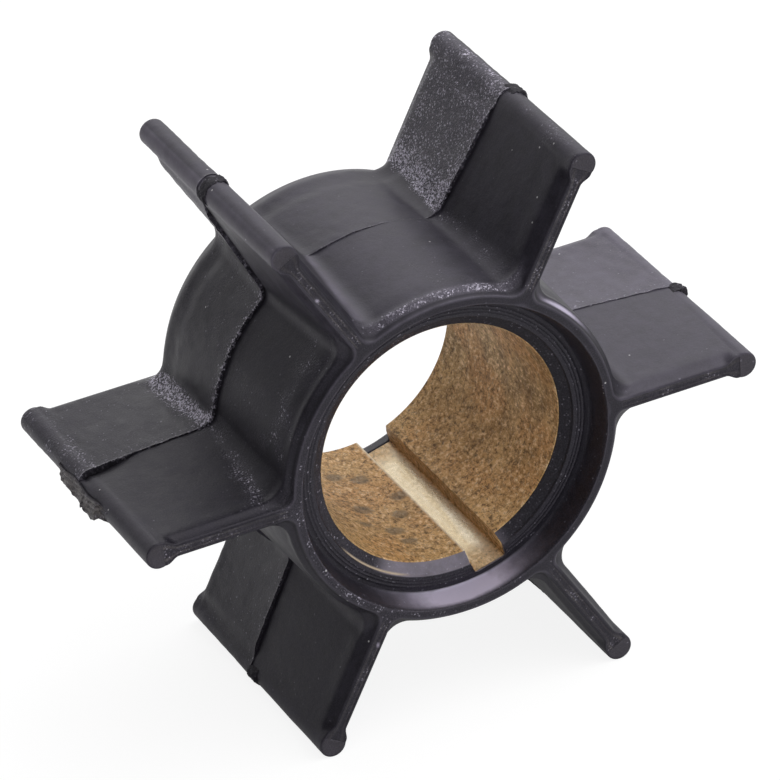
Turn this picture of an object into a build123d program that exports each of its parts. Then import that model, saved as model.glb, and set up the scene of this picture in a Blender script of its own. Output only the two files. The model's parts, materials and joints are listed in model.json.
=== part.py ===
"""Six-vane rubber pump impeller moulded onto a keyed metal sleeve.

Millimetres. The shaft axis is Y, through the origin at mid-width. The front, with the deeper recess,
faces -Y. Z is up, and the impeller stands on the tip beads of its two lowest vanes.
"""
from build123d import *
import math
import os

# Overall sizes
TIP_DIAMETER = 57.2          # across the tip beads of opposite vanes
IMPELLER_WIDTH = 26.0        # rim face to rim face
VANE_COUNT = 6

# Metal sleeve
BORE_DIAMETER = 22.2
SLEEVE_WALL = 2.9            # bore to the outside of the sleeve
CHAMFER_RADIAL = 1.0         # bore chamfer at each end
CHAMFER_AXIAL = 0.6
KEYWAY_WIDTH = 3.0
KEYWAY_DEPTH = 2.05          # bore to keyway floor, at the middle of the keyway
KEYWAY_ANGLE = 284.5         # degrees from +X towards +Z

# Rubber moulding, thick part
HUB_WALL = 1.7               # rubber over the sleeve between the vanes, beside the end steps
HUB_GROWTH = 0.3             # how much further the hub stands out at the mould joint
VANE_THICKNESS = 2.2         # beside the end steps, where a vane is thinnest
TIP_THICKNESS = 2.3          # vane at the mould joint, where it meets the bead
ROOT_THICKNESS = 4.3         # vane at the mould joint, where it meets the hub
BEAD_DIAMETER = 2.4          # round bead along each vane tip
ROOT_FILLET = 2.2            # vane to hub beside the end steps
JOINT_FILLET = 1.5           # vane to hub at the mould joint
JOINT_OFFSET = 0.4           # mould joint from mid-width, towards the back

# Rubber moulding, thin rim at each end
STEP_WIDTH = 1.2             # axial width of the thin rim
HUB_STEP = 0.65              # how far the hub steps down to the rim
VANE_STEP = 0.5              # how far each side of a vane steps down to the lip
LIP_CORNER = 0.6             # bevel in each corner between a vane lip and the rim

# Rubber moulding, end recesses
FRONT_LAND = 0.8             # flat ring round the mouth of the front recess
FRONT_RECESS_DEPTH = 2.2
FRONT_RECESS_TAPER = 0.6     # how much smaller the floor's radius is than the mouth's
BACK_LAND = 1.55
BACK_RECESS_DEPTH = 1.3
BACK_RECESS_TAPER = 0.2
END_SKIN = 0.25              # rubber over each end face of the sleeve

# Mould flash on the beads: vane number, degrees from the vane's own direction, front end, back end, reach
FLASH_CHIPS = (
    (0, 34, -0.7, 0.8, 0.5),
    (1, -20, -0.8, 1.7, 0.45),
    (2, -60, -0.5, 1.9, 0.45),
    (3, 28, -4.0, 0.2, 0.95),
    (3, 28, 0.2, 5.2, 0.6),
    (4, -60, -0.5, 1.6, 0.4),
)
CHIP_SIDES = 5               # a torn chip of flash is angular

# Fits
BOND_CLEARANCE = 0.0         # the rubber is moulded onto the sleeve, so the two meet line to line

# Worked out from the sizes above
FRONT = -IMPELLER_WIDTH / 2
BACK = IMPELLER_WIDTH / 2
FRONT_FLOOR = FRONT + FRONT_RECESS_DEPTH
BACK_FLOOR = BACK - BACK_RECESS_DEPTH
SLEEVE_FRONT = FRONT_FLOOR + END_SKIN
SLEEVE_BACK = BACK_FLOOR - END_SKIN
BORE_RADIUS = BORE_DIAMETER / 2
KEYWAY_FLOOR_RADIUS = BORE_RADIUS + KEYWAY_DEPTH
SKIN_RADIUS = BORE_RADIUS + CHAMFER_RADIAL
SLEEVE_RADIUS = BORE_RADIUS + SLEEVE_WALL
SEAT_RADIUS = SLEEVE_RADIUS + BOND_CLEARANCE
HUB_RADIUS = SEAT_RADIUS + HUB_WALL
JOINT_HUB_RADIUS = HUB_RADIUS + HUB_GROWTH
RIM_RADIUS = HUB_RADIUS - HUB_STEP
LIP_THICKNESS = VANE_THICKNESS - 2 * VANE_STEP
BEAD_RADIUS = BEAD_DIAMETER / 2
BEAD_CENTRE_RADIUS = TIP_DIAMETER / 2 - BEAD_RADIUS
VANE_ANGLES = [360 / VANE_COUNT * index for index in range(VANE_COUNT)]
OVERRUN = 1.0                # how far a cutter runs past the surface that it cuts


def section_at(y):
    """Plane across the shaft axis at y. Its local x is X, its local y is Z, and its normal is -Y."""
    return Plane.XZ.offset(-y)


def star(hub_radius, root_thickness, tip_thickness, root_size, soften=fillet):
    """Hub disc with a straight-sided blade to each bead centre, its root corners softened by root_size."""
    growth = (root_thickness - tip_thickness) / (BEAD_CENTRE_RADIUS - HUB_RADIUS)
    middle_thickness = tip_thickness + growth * BEAD_CENTRE_RADIUS
    blade = make_face(Polyline(
        (0, middle_thickness / 2), (BEAD_CENTRE_RADIUS, tip_thickness / 2),
        (BEAD_CENTRE_RADIUS, -tip_thickness / 2), (0, -middle_thickness / 2), close=True))
    outline = Circle(hub_radius)
    for angle in VANE_ANGLES:
        outline += Rot(0, 0, angle) * blade
    midway = (hub_radius + BEAD_CENTRE_RADIUS) / 2
    roots = [corner for corner in outline.vertices() if corner.center().length < midway]
    return soften(roots, root_size)


def beads():
    """One full-width round bead at every vane tip."""
    ring = Sketch()
    for angle in VANE_ANGLES:
        ring += Rot(0, 0, angle) * Pos(BEAD_CENTRE_RADIUS, 0) * Circle(BEAD_RADIUS)
    return extrude(section_at(BACK) * ring, IMPELLER_WIDTH)


def mould_half(end_y):
    """Thick part of the hub and vanes from the mould joint to one end step, thickest at the joint."""
    step_y = end_y - math.copysign(STEP_WIDTH, end_y)
    at_joint = section_at(JOINT_OFFSET) * star(JOINT_HUB_RADIUS, ROOT_THICKNESS, TIP_THICKNESS, JOINT_FILLET)
    at_step = section_at(step_y) * star(HUB_RADIUS, VANE_THICKNESS, VANE_THICKNESS, ROOT_FILLET)
    return loft([at_joint, at_step], ruled=True)


def flash_chips():
    """Angular chips of squeezed-out rubber on the beads at the mould joint, left by trimming."""
    chips = Part()
    for vane, direction, front, back, reach in FLASH_CHIPS:
        bead_centre = Rot(0, 0, VANE_ANGLES[vane]) * Pos(BEAD_CENTRE_RADIUS, 0)
        on_surface = bead_centre * Rot(0, 0, direction) * Pos(BEAD_RADIUS, 0)
        chips += extrude(section_at(back) * on_surface * RegularPolygon(reach, CHIP_SIDES), back - front)
    return chips


def recesses_and_seat():
    """Everything that is turned out of the hub: both recesses, the skin openings and the sleeve's seat."""
    front_mouth = RIM_RADIUS - FRONT_LAND
    back_mouth = RIM_RADIUS - BACK_LAND
    profile = Polyline(
        (0, FRONT), (front_mouth, FRONT), (front_mouth - FRONT_RECESS_TAPER, FRONT_FLOOR),
        (SKIN_RADIUS, FRONT_FLOOR), (SKIN_RADIUS, SLEEVE_FRONT), (SEAT_RADIUS, SLEEVE_FRONT),
        (SEAT_RADIUS, SLEEVE_BACK), (SKIN_RADIUS, SLEEVE_BACK), (SKIN_RADIUS, BACK_FLOOR),
        (back_mouth - BACK_RECESS_TAPER, BACK_FLOOR), (back_mouth, BACK), (0, BACK), close=True)
    return revolve(make_face(profile), Axis.Y)


def keyway():
    """Rectangular slot from the shaft axis out to the keyway floor, through the whole width."""
    slot = Pos(KEYWAY_FLOOR_RADIUS / 2, 0) * Rectangle(KEYWAY_FLOOR_RADIUS, KEYWAY_WIDTH)
    return extrude(section_at(BACK + OVERRUN) * Rot(0, 0, KEYWAY_ANGLE) * slot, IMPELLER_WIDTH + 2 * OVERRUN)


def rubber_moulding():
    """Thin full-width outline, two thick halves, beads and chips, less what the sleeve fills."""
    rim_outline = star(RIM_RADIUS, LIP_THICKNESS, LIP_THICKNESS, LIP_CORNER, chamfer)
    thin_outline = extrude(section_at(BACK) * rim_outline, IMPELLER_WIDTH)
    solid = thin_outline + mould_half(FRONT) + mould_half(BACK) + beads() + flash_chips()
    return solid - recesses_and_seat() - keyway()


def keyed_sleeve():
    """Turned sleeve, chamfered inside both ends, with the keyway broached through it."""
    profile = Polyline(
        (SKIN_RADIUS, SLEEVE_FRONT), (SLEEVE_RADIUS, SLEEVE_FRONT), (SLEEVE_RADIUS, SLEEVE_BACK),
        (SKIN_RADIUS, SLEEVE_BACK), (BORE_RADIUS, SLEEVE_BACK - CHAMFER_AXIAL),
        (BORE_RADIUS, SLEEVE_FRONT + CHAMFER_AXIAL), close=True)
    return revolve(make_face(profile), Axis.Y) - keyway()


os.makedirs("parts", exist_ok=True)
export_step(rubber_moulding(), "parts/rubber_moulding.step")
export_step(keyed_sleeve(), "parts/keyed_sleeve.step")
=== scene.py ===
"""Looks of the rubber pump impeller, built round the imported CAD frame.

Lengths are millimetres in the frame's axes: Y is the shaft axis, the front faces -Y and Z is up. Meshes are
scaled to metres when they become Blender objects.
"""
import json
from math import asin, atan, atan2, cos, hypot, pi, radians, sin, sqrt

import bmesh
import bpy
import numpy as np
from mathutils import Matrix, Vector, noise


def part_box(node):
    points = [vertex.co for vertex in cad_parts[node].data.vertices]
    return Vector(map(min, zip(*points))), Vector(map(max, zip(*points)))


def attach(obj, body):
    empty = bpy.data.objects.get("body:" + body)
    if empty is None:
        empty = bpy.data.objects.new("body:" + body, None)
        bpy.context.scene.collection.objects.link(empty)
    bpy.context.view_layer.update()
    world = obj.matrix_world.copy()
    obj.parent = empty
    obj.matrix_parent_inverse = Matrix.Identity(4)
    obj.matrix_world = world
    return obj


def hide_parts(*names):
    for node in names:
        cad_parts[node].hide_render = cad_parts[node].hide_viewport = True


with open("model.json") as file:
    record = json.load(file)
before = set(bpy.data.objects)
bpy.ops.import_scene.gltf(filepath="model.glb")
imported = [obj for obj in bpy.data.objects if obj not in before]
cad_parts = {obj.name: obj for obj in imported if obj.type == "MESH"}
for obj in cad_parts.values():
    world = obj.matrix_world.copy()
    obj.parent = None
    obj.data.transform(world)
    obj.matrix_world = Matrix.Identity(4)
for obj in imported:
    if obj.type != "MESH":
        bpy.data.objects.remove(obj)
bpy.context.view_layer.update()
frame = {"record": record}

scene = bpy.context.scene
MM = 0.001

# ---- sizes
rubber_low, rubber_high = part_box("rubber_moulding")
sleeve_low, sleeve_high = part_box("keyed_sleeve")
bore_mount = next(m for m in frame["record"]["mounts"] if m["name"] == "shaft_bore")
FRONT = rubber_low.y / MM
BACK = rubber_high.y / MM
FLOOR = rubber_low.z / MM
SLEEVE_FRONT = sleeve_low.y / MM
SLEEVE_BACK = sleeve_high.y / MM
SLEEVE_RADIUS = sleeve_high.z / MM
BORE_RADIUS = bore_mount["dims"]["r_mm"]
TIP_RADIUS = 28.6
RIGHT, UPPER_RIGHT, UPPER_LEFT, LEFT, LOWER_LEFT, LOWER_RIGHT = range(6)
VANE_ANGLES = (0, 60, 120, 180, 240, 300)
CLOCKWISE, COUNTER = -1, 1    # the two sides of a vane, seen from the front
BEAD_RADIUS = 1.2
BEAD_CENTRE = TIP_RADIUS - BEAD_RADIUS
HUB_RADIUS = 15.7         # beside the end steps
JOINT_HUB_RADIUS = 16.0   # at the mould joint
TIP_HALF = 1.12           # half a vane's thickness at its bead, beside the end steps
JOINT_TIP_HALF = 1.19     # the same at the mould joint
ROOT_SLOPE = 0.006        # how fast that grows towards the hub, beside the end steps
JOINT_SLOPE = 0.083       # the same at the mould joint
ROOT_FILLET = 2.2         # beside the end steps
JOINT_FILLET = 1.5        # the same at the mould joint
RIM_RADIUS = 15.05
LIP_HALF = 0.6
LIP_FILLET = 1.0
# Recesses: mouth radius, floor radius, depth, and the radius where the film over the sleeve's chamfer ends
FRONT_RECESS = (14.25, 13.65, 2.2, 11.16)
BACK_RECESS = (13.5, 13.3, 1.3, 11.5)
END_SKIN = 0.25           # rubber over each end face of the sleeve
FILM = 0.06               # rubber over its end chamfers
SKIN_RADIUS = 12.1
CHAMFER_AXIAL = 0.6
CHAMFER_SLOPE = CHAMFER_AXIAL / (SKIN_RADIUS - BORE_RADIUS)
KEYWAY_HALF = 1.5
KEYWAY_FLOOR = 13.15
KEYWAY_ANGLE = 284.5
KEYWAY_SPARE = 0.07       # rubber that is hidden in the metal ends this far short of the keyway
MOULD_MISMATCH = 0.3      # the back half of the mould sat this much towards -X
HUB_JOINT = 0.42          # the joint's place along the shaft at the hub
TIP_JOINTS = (0.35, 0.35, 1.3, 0.85, 1.0, 0.6)  # and at each vane's tip
WALL_SPREADS = (0.5, 1.5, 1.4, 0.1, 0.5, 0.4)   # how gently each vane steps down to its lip
WALL_LEAN = 0.45          # extra depth of a step per unit of that spread
BACK_STRETCH = 0.9        # how much wider the hub's step is at the back than at the front
BOX_MARGIN = 0.01         # the flash stays this far inside the CAD's box
HUB_TOP = 88              # the direction of the hub's top, between two vanes

# What a vertex tells the materials. On rubber, grain is gritty texture shown with painted glints, dark is
# painted shade, smear a brown scuff, bare exposed metal painted as a bright glint, the pale mark a pale bloom
# together with painted highlights and painted light, edge how plain the mould joint is and seam where it is.
# On bronze, dark is a smudge, smear the keyway's floor, grain its walls, painted a little darker as shade,
# and bare a burr painted as a bright highlight.
MARKS = ("grain", "dark", "smear", "bare", "bloom", "edge", "seam")
SEAM_ZERO = 5.0           # the seam mark is this plus the distance behind the joint
SEAM_REACH = 3.0          # and stops changing this far from it


def smooth(edge0, edge1, value):
    """0 at edge0, 1 at edge1 and an even S between them. Edge0 may be the larger."""
    part = np.clip((value - edge0) / (edge1 - edge0), 0.0, 1.0)
    return part * part * (3 - 2 * part)


def bell(value, centre, width, power=2):
    """1 at the centre, falling to nothing on both sides. A higher power gives a flatter top."""
    return np.exp(-((value - centre) / width) ** power)


def fade(distance, reach):
    """1 as far as distance 0, and dying away beyond it."""
    return np.exp(-np.maximum(distance, 0) / reach)


def noise3(points, scale, seed=0.0):
    """Smooth noise from -1 to 1 at each point, with features about `scale` mm across."""
    shift = Vector((seed * 17.3, seed * 9.1, seed * 5.7))
    flat = points.reshape(-1, 3) / scale
    values = [noise.noise(Vector(p) + shift) for p in flat]
    return np.array(values).reshape(points.shape[:-1])


def angle_from(angles, centre):
    """Signed difference in degrees between angles in radians and a direction in degrees."""
    return (np.degrees(angles) - centre + 180) % 360 - 180


def around(angles, centre, width, power=2):
    """1 in one direction, falling to nothing on both sides of it."""
    return bell(angle_from(angles, centre), 0, width, power)


def turned(plan, degrees):
    """Points (x, z) turned about the shaft axis."""
    c, s = cos(radians(degrees)), sin(radians(degrees))
    return np.c_[plan[:, 0] * c - plan[:, 1] * s, plan[:, 0] * s + plan[:, 1] * c]


def level(plan, y):
    """Points (x, z) put at y along the shaft."""
    return np.stack([plan[..., 0], np.broadcast_to(y, plan.shape[:-1]), plan[..., 1]], -1)


def polar(angles, radius, y, centre=(0, 0, 0)):
    """Points at an angle and radius round the shaft axis, or round another centre."""
    x, y, z = np.broadcast_arrays(centre[0] + radius * np.cos(angles), y, centre[2] + radius * np.sin(angles))
    return np.stack([x, y, z], -1)


def bead_centre(vane):
    """The centre of one vane's bead, at mid-width."""
    angle = radians(VANE_ANGLES[vane])
    return np.array([cos(angle), 0, sin(angle)]) * BEAD_CENTRE


# ---- mesh building
class Mesh:
    """Collects vertices, their marks and faces in millimetres, then makes one Blender object."""

    def __init__(self):
        self.vertices = []
        self.faces = []
        self.marks = {name: [] for name in MARKS}

    def add(self, points, **marks):
        """Adds points and returns their indices, in the same layout."""
        points = np.asarray(points, float)
        start = len(self.vertices)
        flat = points.reshape(-1, 3)
        self.vertices.extend(flat.tolist())
        for name in MARKS:
            values = np.broadcast_to(marks.get(name, 0.0), points.shape[:-1])
            self.marks[name].extend(values.ravel().tolist())
        return np.arange(start, start + len(flat)).reshape(points.shape[:-1])

    def bridge(self, first, second, closed=True):
        """Quads between two rows of indices of the same length."""
        count = len(first)
        for i in range(count if closed else count - 1):
            j = (i + 1) % count
            self.faces.append((first[i], first[j], second[j], second[i]))

    def skin(self, rows, closed=True):
        """Quads between each row of indices and the next."""
        for first, second in zip(rows, rows[1:]):
            self.bridge(first, second, closed)

    def fan(self, loop, centre):
        """Triangles from a closed loop of indices to one in its middle."""
        for i in range(len(loop)):
            self.faces.append((loop[i], loop[(i + 1) % len(loop)], centre))

    def object(self, name, sharp):
        """One smooth object, with edges kept sharp above this many degrees."""
        mesh = bpy.data.meshes.new(name)
        points = np.array(self.vertices) * MM
        mesh.from_pydata(points.tolist(), [], [tuple(int(v) for v in face) for face in self.faces])
        for mark in MARKS:
            layer = mesh.attributes.new(mark, "FLOAT", "POINT")
            layer.data.foreach_set("value", np.array(self.marks[mark], np.float32))
        work = bmesh.new()
        work.from_mesh(mesh)
        bmesh.ops.remove_doubles(work, verts=work.verts, dist=2e-7)
        bmesh.ops.dissolve_degenerate(work, edges=work.edges, dist=1e-8)
        bmesh.ops.recalc_face_normals(work, faces=work.faces)
        work.to_mesh(mesh)
        work.free()
        mesh.polygons.foreach_set("use_smooth", [True] * len(mesh.polygons))
        mesh.set_sharp_from_angle(angle=radians(sharp))
        obj = bpy.data.objects.new(name, mesh)
        scene.collection.objects.link(obj)
        return obj


# ---- rubber outline
ARC_STEPS = 16
FILLET_STEPS = 9
WEB_STEPS = 42
BEAD_STEPS = 11           # from the web to the tip, one side
HALF_COUNT = ARC_STEPS + FILLET_STEPS + WEB_STEPS + BEAD_STEPS + 1
VANE_COLUMNS = 2 * HALF_COUNT - 1
WEB_START = ARC_STEPS + FILLET_STEPS
WEB_END = WEB_START + WEB_STEPS
WEB_CROWDING = 1.15       # above 1, a web's columns crowd towards its bead
LIP_WIDENING = (BEAD_CENTRE - 1.7, BEAD_CENTRE - 0.6)    # where a lip widens to its bead


def half_outline(hub, half_tip, slope, fillet, end_half=None):
    """One side of one vane, from mid-gap to the tip: columns of (along the vane, off its centre line).

    The side is straight and leans by slope. With end_half the web widens to that just before the bead.
    """
    lean = atan(slope)
    offset = half_tip + slope * BEAD_CENTRE + fillet * hypot(1, slope)
    reach = hub + fillet
    square = 1 + slope ** 2
    along = (offset * slope + sqrt((offset * slope) ** 2 - square * (offset ** 2 - reach ** 2))) / square
    off = offset - slope * along
    hub_angle = atan2(off, along)
    angles = np.linspace(pi / 6, hub_angle, ARC_STEPS + 1)[:-1]
    turn = np.linspace(hub_angle + pi, 1.5 * pi - lean, FILLET_STEPS + 1)
    corner = np.c_[along + fillet * np.cos(turn), off + fillet * np.sin(turn)]
    meeting = end_half or half_tip
    bead_turn = pi - asin(min(meeting / hypot(1, slope) / BEAD_RADIUS, 0.995)) - lean
    stop = np.array([BEAD_CENTRE + BEAD_RADIUS * cos(bead_turn), BEAD_RADIUS * sin(bead_turn)])
    share = np.linspace(0, 1, WEB_STEPS + 1)[:-1, None]
    share = 1 - (1 - share) ** WEB_CROWDING
    web = corner[-1] * (1 - share) + stop * share
    if end_half:
        web[:, 1] = half_tip + (end_half - half_tip) * smooth(*LIP_WIDENING, web[:, 0])
    tip_turn = np.linspace(bead_turn, 0, BEAD_STEPS + 1)
    tip = np.c_[BEAD_CENTRE + BEAD_RADIUS * np.cos(tip_turn), BEAD_RADIUS * np.sin(tip_turn)]
    return np.vstack([np.c_[hub * np.cos(angles), hub * np.sin(angles)], corner[:-1], web, tip])


def full_outline(*sizes, **more):
    """The whole outline as (x, z), vane after vane, each from its clockwise side to its other side."""
    side = half_outline(*sizes, **more)
    one = np.vstack([side * [1, -1], side[-2::-1]])
    return np.vstack([turned(one, angle) for angle in VANE_ANGLES])


def outline_normals(outline):
    """Outward unit normals of a closed outline."""
    tangent = np.roll(outline, -1, 0) - np.roll(outline, 1, 0)
    normal = np.c_[tangent[:, 1], -tangent[:, 0]]
    return normal / np.linalg.norm(normal, axis=1, keepdims=True)


THIN = full_outline(RIM_RADIUS, LIP_HALF, 0.0, LIP_FILLET, end_half=TIP_HALF)
THICK = full_outline(HUB_RADIUS, TIP_HALF, ROOT_SLOPE, ROOT_FILLET)
THICKEST = full_outline(JOINT_HUB_RADIUS, JOINT_TIP_HALF, JOINT_SLOPE, JOINT_FILLET)
NORMALS = outline_normals(THICK)

# Each column's distance out, its vane, its side of that vane, and its direction
column_radius = np.linalg.norm(THICK, axis=1)
column_vane = np.repeat(np.arange(6), VANE_COLUMNS)
column_side = np.tile(np.where(np.arange(VANE_COLUMNS) < HALF_COUNT, CLOCKWISE, COUNTER), 6)
column_angle = np.arctan2(THICK[:, 1], THICK[:, 0])
flat_column = level(THICK, 0.0)

# What each column is part of, from 0 to 1
off_hub = smooth(16.5, 19.0, column_radius)
on_hub = 1 - off_hub
on_web = 1 - smooth(BEAD_CENTRE - 2.2, BEAD_CENTRE - 0.9, column_radius)
on_lip = smooth(16.0, 17.5, column_radius) * (1 - smooth(BEAD_CENTRE - 2.0, BEAD_CENTRE - 0.9, column_radius))
corner_size = 0.4 + 0.6 * on_lip     # the lips' corners are worn rounder than the beads' and the hub's
wall_spread = np.array(WALL_SPREADS)[column_vane] * off_hub

# The mould joint runs from its place at the hub to its place at each tip, and wanders a little
out_share = smooth(16.5, 27.0, column_radius)
joint_wander = 0.09 * noise3(flat_column, 1.8, 1) + 0.06 * noise3(flat_column, 0.6, 2)
joint_line = HUB_JOINT + (np.array(TIP_JOINTS)[column_vane] - HUB_JOINT) * out_share + joint_wander


def vane_side(vane, side):
    """1 on one side of one vane and on the hub beside it, 0 elsewhere."""
    return ((column_vane == vane) & (column_side == side)).astype(float)


# The sides that look different from the rest
right_side = vane_side(RIGHT, COUNTER)
gritty_side = vane_side(UPPER_RIGHT, COUNTER)
upper_left_side = vane_side(UPPER_LEFT, COUNTER)
left_side = vane_side(LEFT, CLOCKWISE)
lower_left_side = vane_side(LOWER_LEFT, CLOCKWISE)


# ---- rubber sides
# Rows from an end face to the pad: depth, extra depth per unit of wall spread, inset, thin-to-thick share
LIP_ROWS = ((0.0, 0.0, 0.2, 0.0), (0.02, 0.0, 0.11, 0.0), (0.06, 0.0, 0.04, 0.01), (0.12, 0.0, 0.0, 0.04))
WALL_ROWS = ((0.22, 0.11), (0.34, 0.21), (0.46, 0.34), (0.58, 0.49), (0.68, 0.64), (0.78, 0.78), (0.88, 0.88),
             (1.0, 0.935), (1.2, 0.97), (1.45, 0.993), (1.75, 1.0), (2.0, 1.0))
END_ROWS = LIP_ROWS + tuple((depth, WALL_LEAN * depth, 0.0, share) for depth, share in WALL_ROWS)
PLAIN_ROWS = 14           # in each half, between the rows of the end and those of the joint
JOINT_ROWS = (-0.45, -0.2, -0.09, -0.04, -0.012, 0.012, 0.04, 0.09, 0.2, 0.45)   # places beside the joint
JOINT_BAND = 0.5          # the plain rows stop this far from the joint
FLOOR_GAP = 0.002         # the beads below stay this far above the floor


def side_rows():
    """Rows of the outer side, front to back: y, plan, 1 for the mould's back half, thin-to-thick share."""
    ends = []
    for depth, extra, inset, share in END_ROWS:
        reach = depth + extra * wall_spread
        soften = 0.11 * smooth(0.9, 0.0, off_hub) * bell(reach, 1.6, 0.6) * share
        outline = THIN * (1 - share) + THICK * share - NORMALS * (inset * corner_size + soften)[:, None]
        ends.append((reach, outline, share))
    front_edge = FRONT + ends[-1][0]
    back_edge = BACK - ends[-1][0] * (1 + BACK_STRETCH * on_hub)
    plain = np.linspace(0, 1, PLAIN_ROWS + 2)[1:-1]
    rows = [(FRONT + reach, outline, 0.0, share) for reach, outline, share in ends]
    for t in plain:
        y = front_edge + (joint_line - JOINT_BAND - front_edge) * t
        grown = ((y - front_edge) / (joint_line - front_edge))[:, None]
        rows.append((y, THICK * (1 - grown) + THICKEST * grown, 0.0, 1.0))
    rows += [(joint_line + gap, THICKEST, float(gap > 0), 1.0) for gap in JOINT_ROWS]
    for t in plain:
        y = joint_line + JOINT_BAND + (back_edge - joint_line - JOINT_BAND) * t
        grown = ((back_edge - y) / (back_edge - joint_line))[:, None]
        rows.append((y, THICK * (1 - grown) + THICKEST * grown, 1.0, 1.0))
    for reach, outline, share in reversed(ends):
        stretch = 1 + BACK_STRETCH * on_hub * smooth(0.1, 1.0, reach)
        rows.append((BACK - reach * stretch, outline, 1.0, share))
    y, plan, back, share = (np.array(values) for values in zip(*rows))
    return y, plan, back[:, None], share[:, None]


def side_relief(base, from_joint, back, share):
    """How far each point stands proud of the plain shape, and the scoop torn out of the left vane."""
    crease = (0.02 + 0.04 * smooth(-0.2, 0.5, noise3(flat_column, 0.8, 6))) * bell(from_joint, 0, 0.07)
    crease = crease * (0.35 + 0.65 * off_hub)
    # the torn fringe that the back half's edge keeps, and how proud that half is near the joint
    fringe = back * off_hub * (0.03 + 0.05 * np.maximum(noise3(flat_column, 0.5, 7), 0))
    fringe = fringe * bell(from_joint, 0, 0.12)
    proud = 0.05 * back * fade(from_joint, 3.0)
    scoop = 0.6 * smooth(22.6, 26.6, column_radius) * smooth(28.5, 27.9, column_radius)
    scoop = scoop * left_side * fade(-from_joint, 0.8) * (1 - back)
    fine = (0.012 + 0.03 * back) * share * noise3(base, 0.7, 4)
    coarse = 0.03 * share * noise3(base, 4.0, 5)
    return fine + coarse - crease * (1 - back) + fringe + proud - scoop, scoop


def hub_top_step(to_front):
    """1 on the wall of the front step along the hub's top."""
    step_wall = smooth(0.35, 0.6, to_front) * smooth(1.6, 1.15, to_front)
    return around(column_angle, HUB_TOP, 25.0, 4) * on_hub * step_wall


def side_grain(base, from_joint, to_front, back):
    """Where the surface is gritty, shown with painted glints: one vane's back half, the roots, and along the
    back half's edge.
    """
    front = 1 - back
    left_hub = (upper_left_side + left_side) * on_hub
    torn_vanes = (lower_left_side + left_side + right_side) * off_hub
    patches = smooth(-0.35, 0.45, noise3(base, 1.8, 8))
    near_edge = fade(from_joint, 0.7)
    radius = column_radius + 0.35 * noise3(base, 0.9, 10)
    gritty_vane = gritty_side * smooth(16.4, 17.0, radius) * (0.55 + 0.8 * bell(radius, 17.4, 1.9))
    root_band = bell(radius, 16.5, 0.85) * smooth(15.7, 15.95, column_radius)
    # the back half
    grain = back * gritty_vane * (0.8 + 0.2 * patches + 0.35 * near_edge)
    grain += back * left_side * root_band * (1.0 + 0.7 * fade(from_joint, 6.0))
    grain += back * left_hub * (0.06 * patches + 0.9 * near_edge ** 1.6)
    grain += back * upper_left_side * 0.3 * patches * bell(radius, 16.6, 0.8)
    grain += back * left_side * 0.4 * patches * smooth(25.9, 27.0, radius)
    grain += back * torn_vanes * (0.1 + 0.2 * near_edge)
    # the step along the hub's top, the front half's roots, and the gritty vane's bead
    grain += 0.72 * hub_top_step(to_front) * (0.75 + 0.25 * patches)
    grain += front * 0.35 * gritty_side * bell(radius, 16.6, 0.9) * patches
    grain += front * 0.5 * left_side * bell(radius, 17.2, 1.3) * patches
    grain += front * left_hub * 0.42 * patches * bell(to_front, 3.4, 1.7)
    grain += 0.25 * patches * gritty_side * smooth(26.8, 27.3, radius)
    return np.clip(grain + 0.03, 0, 1.6)


def side_pale_and_highlights(from_joint, to_front, back):
    """Where the rubber is painted pale: a pale bloom on some faces and the beads, painted light on the right
    vane's top, the hub's top and a root of the lower-left vane, and painted highlights along the hub's front
    edge, a root near the front, the hub's top step and the right shoulder.
    """
    bead = smooth(26.6, 27.4, column_radius)
    front_root = smooth(1.2, 2.2, to_front) * (1 - back)
    bloom = 0.02 * gritty_side * (0.5 + 0.5 * back) * off_hub
    # painted light: the right vane's top face is paler, as it faces the light
    bloom += right_side * smooth(15.9, 17.6, column_radius) * (0.04 + 0.04 * back)
    bloom += upper_left_side * off_hub * (0.03 + 0.03 * back)
    # painted light on the hub's top
    bloom += 0.03 * on_hub * around(column_angle, HUB_TOP, 26.0)
    bloom += bead * (0.015 + 0.02 * (column_vane == UPPER_LEFT))
    # painted highlights: along the hub's front edge, one root near the front, the hub's top step and the
    # right shoulder
    bloom += 0.035 * on_hub * smooth(0.14, 0.02, to_front)
    bloom += 0.07 * vane_side(UPPER_LEFT, CLOCKWISE) * bell(column_radius, 16.5, 0.5) * front_root
    bloom += 0.03 * hub_top_step(to_front)
    bloom += 0.75 * on_hub * around(column_angle, 42, 7.0) * bell(to_front, 0.55, 0.15)
    # painted light on the lower-left vane's root, behind the joint
    return bloom + 0.06 * lower_left_side * bell(column_radius, 16.3, 0.6) * smooth(-3.5, -1.0, from_joint)


def joint_edge(base):
    """How plain the mould joint's dark line is: patchy, and plainest on the two upper vanes."""
    plain = 0.3 + 0.7 * np.maximum(gritty_side * off_hub, upper_left_side) + 0.4 * left_side
    return (0.35 + 0.65 * smooth(-0.3, 0.3, noise3(base, 1.1, 9))) * np.minimum(plain, 1.0)


def rubber_side():
    """Points and marks of the rubber's outer side: rows x columns, front to back."""
    y, plan, back, share = side_rows()
    base = level(plan, y)
    from_joint = y - joint_line
    to_front = y - FRONT
    swell, scoop = side_relief(base, from_joint, back, share)
    x = plan[..., 0] - MOULD_MISMATCH * back * share * on_web + swell * NORMALS[:, 0]
    z = np.maximum(plan[..., 1] + swell * NORMALS[:, 1], FLOOR + FLOOR_GAP)
    # painted shade: in the scoop torn out of the left vane, and in a band at the foot of the hub's front step
    foot = 0.55 * on_hub * bell(to_front, 0.3, 0.13)
    marks = dict(
        grain=side_grain(base, from_joint, to_front, back), dark=np.clip(1.6 * scoop + foot, 0, 1),
        bloom=side_pale_and_highlights(from_joint, to_front, back), edge=joint_edge(base),
        seam=SEAM_ZERO + np.clip(from_joint, -SEAM_REACH, SEAM_REACH))
    return np.stack([x, y, z], -1), marks


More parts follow.
